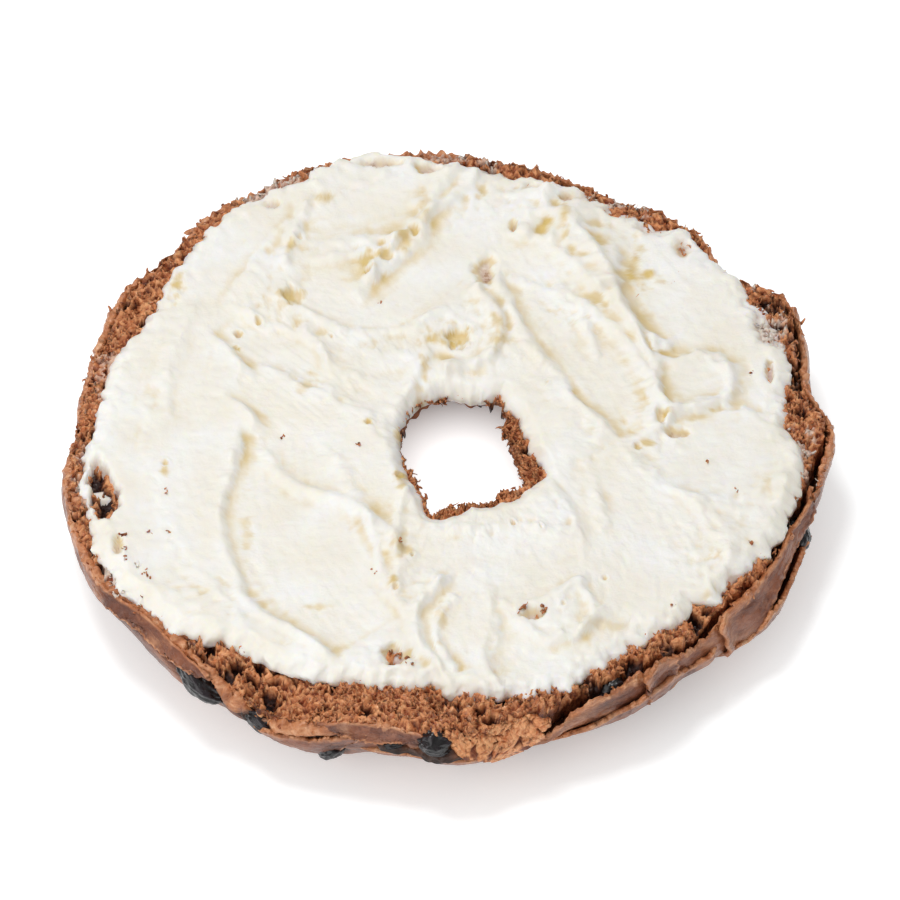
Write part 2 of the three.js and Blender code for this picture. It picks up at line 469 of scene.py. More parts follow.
# The skin of the bagel, with its folds, bulges and torn rim
crustShape = {
    "steps": 900,
    "edgeThickness": 0.8,
    "tuck": 0.25,  # how far the wall draws in at the base, as a share of the ring's width
    "bulge": 0.004,
    "wallRows": 46,
    "lumps": 0.6, "wrinkles": 0.22, "pockets": 0.9,  # pockets are the gaps round the raisins
    "torn": 0.7, "wavy": 0.45, "lean": 0.5,  # how far the cut edge rises and falls, and leans in and out
    # where the wall swells out under the rim: direction, half-width, height, half-height, how far
    "bulges": [
        (223, 13, 9, 4.8, 2.2), (249, 10, 6, 4.5, 2), (327, 11, 7.5, 4.6, 3.2), (303, 10, 6, 4.5, 1.6),
        (60, 18, 7, 4, 1.2), (150, 16, 7, 4.5, 1.4),
    ],
    # where the rim was torn down: direction, half-width, how far
    "drops": [(284, 4.5, 4.6), (271, 6, 0.8), (312, 5, 1.2), (16, 4, 1.2)],
    # the trench where the crust has come away from the crumb, and where it is wider: direction, half-width,
    # how much
    "trench": 0.1,
    "trenches": [
        (294, 9, 1.9), (321, 8, 0.9), (350, 13, 1.5), (18, 7, 0.8), (256, 20, -0.6), (152, 14, 0.4),
        (80, 30, 0.1),
    ],
    # where the whole cut sinks towards the rim
    "sags": [(241, 7.5, 4.1), (251, 8, 1.2), (100, 16, 0.6), (170, 20, 0.7)],
    # a fold is a line round the wall, where the dough above overlaps the dough below: its corners (direction,
    # height), how far its lip stands out, how deep the gap under it is
    "folds": [
        ([(214, 13.4), (222, 13), (228, 12.8), (233, 13)], 0.5, 1.4),
        ([(233, 11.6), (238, 10.4), (243, 10.2), (250, 11.6), (256, 12.4)], 0.4, 1.2),
        ([(255, 12.2), (261, 11.8), (266, 11.8), (271, 12.6), (277, 12.4)], 0.5, 1.8),
        ([(320, 9), (326, 11.3), (334, 11), (342, 11.2), (348, 11)], 0.5, 1.8),
        ([(28, 7.6), (45, 9), (60, 7.4), (78, 8.2)], 0.5, 0.9),
        ([(88, 6), (104, 8.4), (122, 7.2)], 0.6, 1),
        ([(150, 8.6), (168, 7), (184, 8.8), (198, 7.4)], 0.6, 1),
    ],
}


def trenchWidth(angle):
    return crustShape["trench"] + lobeSum(crustShape["trenches"], angle)


def cutSag(angle, radius):
    # how far the cut lies below its even height
    return lobeSum(crustShape["sags"], angle) * smoothStep(46.5, 54.5, radius)


def crustAcross(up):
    # the wall's place at a height, as a share of the way across the ring
    share = np.asarray(up) / cutHeight
    low = np.clip(1 - share / 0.8, 0, 1) ** 1.6 * crustShape["tuck"]
    high = np.clip((share - 0.8) / 0.2, 0, 1) ** 2
    return 1 + crustShape["bulge"] * (1 - high) - low


def crustSection():
    top = cutHeight
    wall = [(float(crustAcross(up)), float(up))
            for up in np.linspace(top - 0.6, 0, crustShape["wallRows"] + 1)[:-1]]
    base = float(crustAcross(0))
    return [
        *chain((0.9, top - 6), ((0.972, top - 4.5), 2), ((0.976, top - 0.4), 10), ((0.982, top), 3),
               ((0.994, top), 4), ((1, top - 0.6), 3)),
        *wall,
        *chain((base, 0), ((0.42, 0), 8), ((0.33, 0.08 * top), 3), ((0.03, top - 1.9), 14),
               ((0, top - 1.1), 4), ((0.012, top - 0.5), 3), ((0.1, top - 3), 5), ((0.9, top - 6), 6)),
    ]


raisinShape = {
    "dents": 0.14, "creases": 0.16,  # shares of its size
    "lowest": 0.1,
    # each raisin: roll in degrees, full size (round the ring, upwards, into the dough), and its shift
    # (degrees round the ring, up, how far its middle is sunk in the wall)
    "raisins": {
        "raisin_1": (-18, 8.6, 4.1, 5.2, (0.2, -0.4, 1.5)),
        "raisin_2": (-20, 5.6, 3.4, 4, (0.2, -1.2, 1.3)),
        "raisin_3": (20, 4.4, 3.2, 4, (0, 0, 0.8)),
        "raisin_4": (4, 3.8, 2, 3.4, (0.2, 0.5, 0.7)),
        "raisin_5": (-14, 5.4, 4, 5, (0.2, 0.6, 0.9)),
        "raisin_6": (30, 4.4, 3.4, 4, (0, 0, 2.6)),
        "raisin_7": (60, 5, 4.2, 4.8, (0.9, -0.8, 0.8)),
        "raisin_8": (-20, 5.2, 4, 4.6, (0, 0, 1.3)),
        "raisin_9": (24, 6.4, 4.6, 5, (0, 0, 1.5)),
        "raisin_10": (-35, 5.6, 4.4, 4.8, (0, 0, 1.4)),
        "raisin_11": (10, 6.8, 4.4, 5, (0, 0, 1.5)),
        "raisin_12": (-50, 5.2, 4.2, 4.6, (0, 0, 1.3)),
    },
}


def raisinPlace(node):
    # direction in radians and height of a raisin's middle
    low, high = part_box(node)
    centre = (low + high) / 2 / mm
    turned, raised, _ = raisinShape["raisins"][node][4]
    return math.atan2(centre.y, centre.x) + math.radians(turned), centre.z + raised


def raisinPockets(angle, up):
    # the dough draws back in a narrow gap round each raisin, where the crust is painted dark as shade: 1 in
    # the gap and 0 away from it
    gap = np.zeros_like(angle)
    for node, (roll, long, tall, _, shift) in raisinShape["raisins"].items():
        if shift[2] > 2:  # this one lies in the trench behind the wall
            continue
        middle, height = raisinPlace(node)
        around = ((angle - middle + math.pi) % (2 * math.pi) - math.pi) * ringShape["crustRadius"]
        rise = up - height
        c, s = math.cos(math.radians(roll)), math.sin(math.radians(roll))
        away = np.hypot((around * c + rise * s) / long, (rise * c - around * s) / tall) * 2
        gap = np.maximum(gap, hump(np.maximum(away - 0.85, 0), 0.3))
    return gap


def foldDisplacement(angle, up):
    # outward push of the overlapping layers, and the share of painted shade in the crevice under each
    push = np.zeros_like(angle)
    creviceShade = np.zeros_like(angle)
    lip = np.zeros_like(angle)
    around = np.radians(1) * ringShape["crustRadius"]
    for corners, lipOut, gapDepth in crustShape["folds"]:
        middle = sum(at for at, _ in corners) / len(corners)
        line = curvePoints([((at - middle) * around, height) for at, height in corners], 4)
        side, share, beyond = alongLine(line, turnFrom(angle, middle) * around, up)
        fade = smoothStep(0, 0.18, share) * smoothStep(0, 0.18, 1 - share) * hump(beyond, 0.6)
        above = np.where(side > 0, hump(side, 2.6), 0) + np.where(side <= 0, hump(side, 0.18), 0)
        below = np.where(side < 0, hump(side + 0.55, 0.55), hump(0.55, 0.55) * hump(side, 0.1))
        push += fade * (lipOut * above - gapDepth * below)
        creviceShade = np.maximum(creviceShade, fade * below)
        lip = np.maximum(lip, fade * np.where(side > 0, hump(side, 0.7), 0))
    return push, creviceShade, lip


def wallLumps(points, angle, up):
    total = (fractalNoise(points, 13, 2, 3.1) - 0.35) * crustShape["lumps"]
    for at, wide, height, tall, out in crustShape["bulges"]:
        total = total + out * hump(turnFrom(angle, at), wide) * hump(up - height, tall)
    return total


def wrinkleDepth(points, shift=8.2):
    # fine creases, drawn out round the ring
    return np.abs(fractalNoise(points * (0.5, 0.5, 1.6), 2.4, 3, shift))


def rubbedShare(points):
    # broad patches where the crust is rubbed pale
    return 0.3 * smoothStep(0.1, 0.6, fractalNoise(points, 9, 3, 7.7))


def makeCrust():
    piece, angle, across, up = spinRing("bakedCrust", crustSection(), crustShape["steps"])
    isOuter = smoothStep(0.93, 0.96, across)
    rimDrop = lobeSum(crustShape["drops"] + crustShape["sags"], angle)
    up -= isOuter * rimDrop * smoothStep(cutHeight - 9, cutHeight - 0.5, up)
    x, y = acrossRing(angle, across, holeRadius(angle), crustRadius(angle))
    points = np.stack([x, y, up], 1)
    setPoints(piece, points)
    normals = getNormals(piece)
    isWall = smoothStep(0.55, 0.9, across) * smoothStep(0, 1.2, up)
    top = cutHeight - rimDrop
    isEdge = smoothStep(0.968, 0.976, across) * smoothStep(top - 2.0, top - 0.4, up)
    wrinkles = wrinkleDepth(points) * crustShape["wrinkles"]
    fine = fractalNoise(points, 0.9, 2, 1.4) * 0.05
    push, creviceShade, lip = foldDisplacement(angle, up)
    onWall = isWall * (across > 0.9) * (1 - 0.6 * isEdge)
    pocket = raisinPockets(angle, up)
    dents = wallLumps(points, angle, up) - wrinkles + fine - crustShape["pockets"] * pocket
    move = isWall * dents + onWall * push
    points += normals * move[:, None]
    # the cut edge of the crust is torn: it rises and falls, and leans in and out
    torn = wander(angle, ringShape["rimPath"], 0.8, 5.5)
    waves = wander(angle, ringShape["rimPath"], 5.0, 2.5, 2)
    points[:, 2] += isEdge * (crustShape["torn"] * torn + crustShape["wavy"] * waves - 0.25)
    pushOut(points, angle, isEdge * crustShape["lean"] * wander(angle, ringShape["rimPath"], 0.9, 9.5))
    # the lip at the hole is ragged too
    isLip = 1 - smoothStep(0.02, 0.12, across)
    tornLip = wander(angle, ringShape["holePath"], 2.2, 4.4)
    pushOut(points, angle, isLip * (crustShape["torn"] * tornLip + 0.25))
    points[:, 2] -= isLip * 0.3 * np.abs(wander(angle, ringShape["holePath"], 3.0, 1.2))
    points[:, 2] = np.maximum(points[:, 2], 0)
    setPoints(piece, points * mm)
    inner = smoothStep(0.985, 0.976, across) * (across > 0.95) * smoothStep(cutHeight - 6, cutHeight - 1, up)
    creviceShade = np.maximum(creviceShade, 0.85 * pocket)
    # painted shade: dark under each fold and in each raisin pocket, with a weaker band on the wall's inner
    # face below the cut
    addAttribute(piece, "creviceShade", creviceShade * isWall + 0.3 * (across < 0.97) * (across > 0.93) * (up > 8))
    addAttribute(piece, "worn", isEdge + 0.6 * lip + inner + 0.5 * isLip + rubbedShare(points) * isWall)
    piece.data.materials.append(crustMaterial)
    return piece


crust = makeCrust()
print("crust made:", len(crust.data.vertices), "points")

# The dough was coiled, so its skin lies in thin layers. Each layer spans two directions; its upper and lower
# edges are heights along it, and out is how far each of them stands off the wall (below 0 it is buried).
# Ends says the same of its two ends, free is its loose edge, and slant and tapers, in degrees, are how far
# its ends lean and over how much they run out.
layerShape = {
    "steps": 170,
    "rows": 22,
    "thickness": 0.7,
    "lowest": 0.5,  # no sheet comes nearer to the floor
    "wrinkles": 0.3, "frayed": 1.3, "ragged": 0.45, "wavy": 0.6,
    "slant": (1.6, -1.6), "tapers": (2.6, 2.6),  # where a layer gives none of its own
    "layers": [
        {"span": (317.5, 350), "top": [15.3, 15.2, 14.8, 14.8, 14.6], "bottom": [4.4, 10, 12.7, 12.5, 12.9],
         "out": (-0.3, 0.6), "ends": (1, -1.2), "free": "bottom"},
        {"span": (320.5, 347), "top": [8.4, 10.8, 11, 10.6, 8.6], "bottom": [1.2, 0.6, 0.8, 1.4, 3],
         "out": (1.3, -0.3), "ends": (0.5, -0.3), "free": "top"},
        {"span": (301, 308.5), "top": [15.2, 16.6, 16.3, 15], "bottom": [9.5, 8.2, 9], "out": (1.1, -0.4),
         "ends": (0.9, 0.8), "free": "top"},
        {"span": (280, 318), "top": [4.5, 8, 10.8, 12, 11.4, 10.6], "bottom": [1.5, 2, 3, 4.5],
         "out": (0.7, -0.2), "ends": (0.3, -0.8), "free": "top"},
        {"span": (269, 284.5), "top": [15, 15, 15.1, 15.2, 15.2], "bottom": [13.2, 12.2, 9.6, 8.6, 11],
         "out": (-0.5, 1.5), "ends": (-0.3, 1), "free": "bottom", "material": "crumb"},
        {"span": (250, 268), "top": [13.2, 14.4, 14.7, 14.7], "bottom": [12.6, 12, 12.2, 13],
         "out": (-0.3, 0.9), "ends": (-0.6, 0.2), "free": "bottom", "slant": (2, -3)},
        {"span": (239, 257), "top": [9.2, 10.6, 12, 12.8], "bottom": [3, 1, 1, 5.6], "out": (0.6, -0.2),
         "ends": (-0.6, 0.3), "free": "top", "slant": (2, -5.5)},
        {"span": (200, 233), "top": [14.2, 14.7, 14.9, 14.7], "bottom": [11.8, 12.8, 13.5, 13.8],
         "out": (0, 1.3), "ends": (-1.4, 0.4), "free": "bottom", "tapers": (14, 2.6)},
        {"span": (256, 286), "top": [8.6, 9.8, 9.6, 8.6], "bottom": [0.8, 0.6, 1], "out": (0.4, 0),
         "ends": (-0.4, -0.6), "free": "top"},
        {"span": (8, 27), "top": [14.2, 13.8, 13.4], "bottom": [6, 7.5, 8], "out": (-0.3, 1.1),
         "ends": (-0.8, 0.8), "free": "bottom"},
        {"span": (60, 88), "top": [14.4, 14, 14], "bottom": [9.6, 7.5, 8], "out": (-0.3, 1.1),
         "ends": (-0.8, 0.6), "free": "bottom"},
        {"span": (112, 134), "top": [14.4, 14, 14], "bottom": [4.6, 5.5, 7], "out": (-0.3, 1),
         "ends": (-0.8, 0.8), "free": "bottom"},
        {"span": (160, 194), "top": [13.4, 13, 13], "bottom": [5.6, 4, 6], "out": (-0.5, 1),
         "ends": (-0.8, -0.8), "free": "bottom"},
    ],
}


def spreadOut(values, share):
    return np.interp(share, np.linspace(0, 1, len(values)), values)


def makeLayer(name, layer, seed):
    bm = bmesh.new()
    bmesh.ops.create_grid(bm, x_segments=layerShape["steps"], y_segments=layerShape["rows"], size=0.5)
    piece = newPiece(name, bm)
    grid = getPoints(piece) + 0.5
    along, rise = grid[:, 0], grid[:, 1]
    start, end = layer["span"]
    reach = along * (end - start)
    slantStart, slantEnd = layer.get("slant", layerShape["slant"])
    frayed = fractalNoise(np.stack([np.full_like(rise, seed * 5.1), along * 3, rise * 2.4], 1), 1.0, 3)
    lean = (1 - rise) * ((1 - along) * slantStart + along * slantEnd)
    lean += layerShape["frayed"] * frayed
    angle = np.radians(start + reach + lean)
    ragged = wander(angle, ringShape["rimPath"], 1.0, seed * 3.3)
    wavy = wander(angle, ringShape["rimPath"], 6.0, seed * 1.7, 2)
    toFree = rise if layer["free"] == "top" else 1 - rise
    top = spreadOut(layer["top"], along)
    bottom = spreadOut(layer["bottom"], along)
    up = bottom + (top - bottom) * rise
    up += toFree ** 3 * (layerShape["ragged"] * ragged + layerShape["wavy"] * wavy)
    topOut, bottomOut = layer["out"]
    out = bottomOut + (topOut - bottomOut) * rise
    taperStart, taperEnd = layer.get("tapers", layerShape["tapers"])
    inward = 1 - smoothStep(0, taperStart, reach)
    outward = 1 - smoothStep(0, taperEnd, end - start - reach)
    out = out * (1 - inward) * (1 - outward) + layer["ends"][0] * inward + layer["ends"][1] * outward
    out += 0.35 * wavy * toFree + 0.12 * ragged * toFree ** 4
    x, y = acrossRing(angle, crustAcross(up), holeRadius(angle), crustRadius(angle))
    points = np.stack([x, y, up], 1)
    isCrumb = layer.get("material") == "crumb"
    if isCrumb:
        warped = points + vectorNoise(points, 1.3, 3, 2.0) * 0.6
        foam = smoothStep(0.06, 0.5, cellWalls(warped, 1.5, 4.0))
        out -= 0.6 * foam * smoothStep(0.1, 0.5, rise)
    else:
        out -= wrinkleDepth(points, 8.2 + seed) * layerShape["wrinkles"]
    out += wallLumps(points, angle, up)
    pushOut(points, angle, out)
    points[:, 2] = np.maximum(points[:, 2], layerShape["lowest"])
    setPoints(piece, points * mm)
    edge = np.minimum(along, 1 - along) * (end - start)
    rim = smoothStep(0.8, 0.95, rise) * smoothStep(12.8, 13.8, top)
    worn = 0.9 * np.maximum(smoothStep(0.9, 0.99, toFree), rim) + 0.6 * (1 - smoothStep(0, 0.5, edge))
    addAttribute(piece, "worn", worn + rubbedShare(points))
    # the layers get no painted crevice shade
    addAttribute(piece, "creviceShade", np.zeros_like(up))
    if isCrumb:
        # painted highlight on the layer's cell walls and painted shade in its cells
        addAttribute(piece, "tipHighlight", 1 - foam)
        addAttribute(piece, "poreShade", 0.6 * foam)
    piece.data.materials.append(crumbMaterial if isCrumb else crustMaterial)
    skin = piece.modifiers.new("skin", "SOLIDIFY")
    skin.thickness = layerShape["thickness"] * mm
    skin.offset = 0
    applyModifiers(piece)
    faceOutwards(piece)
    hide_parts("bagel_half")
    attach(piece, "root")


for seed, layer in enumerate(layerShape["layers"], 1):
    makeLayer("crustLayer" + str(seed), layer, seed)
print("crust layers made:", len(layerShape["layers"]))

# The open crumb of the cut face, full of torn cells
crumbShape = {
    "steps": 1250,
    "bigCell": 3, "bigDepth": 2.9,
    "smallCell": 1.1, "smallDepth": 1.15,
    "sideways": 0.45, "threads": 0.7, "waves": 0.5,
    "holeInset": 0.2, "rimPath": 52,
    "squeeze": 0.5, "squeezeFrom": 44,  # cells near the edge lie along the ring
    # holes that the knife tore in the crumb: x, y, half-width, half-height, depth
    "hollows": [
        (-50.3, -8.6, 1.8, 3, 1.6), (-49.2, -13, 2.6, 3.6, 2), (-31, -43, 1.6, 1.2, 1.6),
        (-25, -46.5, 2, 1.2, 1.8), (-12, -50.5, 1.8, 1, 1.4), (46.5, 24, 2, 1.6, 1.2),
        (50.5, 10, 1.6, 3, 1.2), (4, -50.8, 1.6, 1.1, 1.6), (-37, -38.5, 1.6, 1.2, 1.2),
        (34.8, -34.6, 1.6, 1.6, 1.8), (25.8, -42.2, 2.6, 1.3, 2), (20.4, -45.6, 2.4, 1.4, 2),
        (47.8, -16, 1.2, 3, 1.8), (45.2, -22, 1.3, 2, 1.6), (30.5, -39, 1.8, 1, 1.4),
    ],
    # cheese wiped over the crumb: x, y, half-width, half-height, strength
    "smears": [
        (45.2, 18.5, 3.6, 5.6, 0.9), (-52.4, -9, 1.4, 5, 0.6), (-49, 11, 2.2, 6, 0.4),
        (50, -5, 2.5, 6, 0.6), (-26, 46, 9, 3, 0.6), (30, 44.5, 9, 3, 0.7), (46.5, -15, 2.4, 4, 0.6),
        (-47, -26, 3, 4, 0.8), (0, 53, 10, 2.5, 0.5),
    ],
}


def crumbSection():
    top = cutHeight
    return chain((0.03, top - 2), ((0.2, top - 3.6), 2), ((0.9, top - 5.4), 3), ((1, top - 4.6), 1),
                 ((1, top - 0.3), 7), ((0.99, top), 1), ((0.8, top), 32), ((0.16, top), 10), ((0, top), 18),
                 ((0.03, top - 2), 4))


def makeCrumb():
    piece, angle, across, up = spinRing("openCrumb", crumbSection(), crumbShape["steps"])
    outer = crustRadius(angle) - crustShape["edgeThickness"] - trenchWidth(angle)
    inner = holeRadius(angle) + crumbShape["holeInset"]
    x, y = acrossRing(angle, across, inner, outer)
    flat = np.stack([x, y, up], 1)
    onTop = smoothStep(cutHeight - 3.0, cutHeight - 0.4, up)
    reach = np.hypot(x, y)
    squeeze = 1 + crumbShape["squeeze"] * np.maximum(reach - crumbShape["squeezeFrom"], 0) / reach
    twist = vectorNoise(flat, 1.3, 3, 2.0)
    warped = flat * np.stack([squeeze, squeeze, np.ones_like(x)], 1) + twist * 0.6
    clusters = smoothStep(-0.2, 0.6, fractalNoise(flat, 5.5, 2, 6.0))
    big = smoothStep(0.1, 0.55, cellWalls(warped, crumbShape["bigCell"], 1.0))
    small = smoothStep(0.06, 0.5, cellWalls(warped, crumbShape["smallCell"], 4.0))
    threads = 1 - np.abs(fractalNoise(warped, 0.9, 2, 12.0))
    depth = crumbShape["bigDepth"] * big * clusters + crumbShape["smallDepth"] * small * (1 - 0.5 * big)
    depth -= crumbShape["threads"] * threads ** 4
    for *hollow, deep in crumbShape["hollows"]:
        depth += deep * (1 - smoothStep(0.4, 1.0, awayFrom(x, y, hollow) + 0.5 * twist[:, 0]))
    waves = fractalNoise(flat, 7, 2, 9.0) * crumbShape["waves"]
    points = flat + twist * (crumbShape["sideways"] * (0.3 + 0.7 * onTop))[:, None]
    points[:, 2] = up + onTop * (waves - depth + 0.2 - cutSag(angle, reach))
    # the outer side and the hole's side are torn as well
    sideOut = (across > 0.985) * 0.5 * wander(angle, crumbShape["rimPath"], 1.3, 3.0)
    tornHole = wander(angle, ringShape["holePath"], 1.6, 7.0)
    sideIn = (1 - smoothStep(0.0, 0.05, across)) * (0.9 * tornHole + 0.1)
    pushOut(points, angle, sideOut + sideIn)
    setPoints(piece, points * mm)
    relief = neighbourMean(piece, depth, 12) - depth
    # painted highlight where the crumb stands above its neighbours, weaker below the cut face; painted shade
    # where the cells sink deep and on the crumb's sides
    addAttribute(piece, "tipHighlight", smoothStep(-0.35, 0.4, relief) * (0.25 + 0.75 * onTop))
    addAttribute(piece, "poreShade", smoothStep(0.3, 1.35, depth) + 0.7 * (1 - onTop))
    addAttribute(piece, "smear", smearShare(x, y) * smoothStep(-0.15, 0.15, relief))
    piece.data.materials.append(crumbMaterial)
    return piece


def smearShare(x, y):
    # cheese wiped thinly over the crumb's high points, in a few places near the spread's edge
    patchy = 0.9 * fractalNoise(onFloor(x, y), 1.8, 3, 15.0)
    return np.max([strength * (1 - smoothStep(0.5, 0.9, awayFrom(x, y, smear) + patchy))
                   for *smear, strength in crumbShape["smears"]], axis=0)


crumb = makeCrumb()
print("crumb made:", len(crumb.data.vertices), "points")

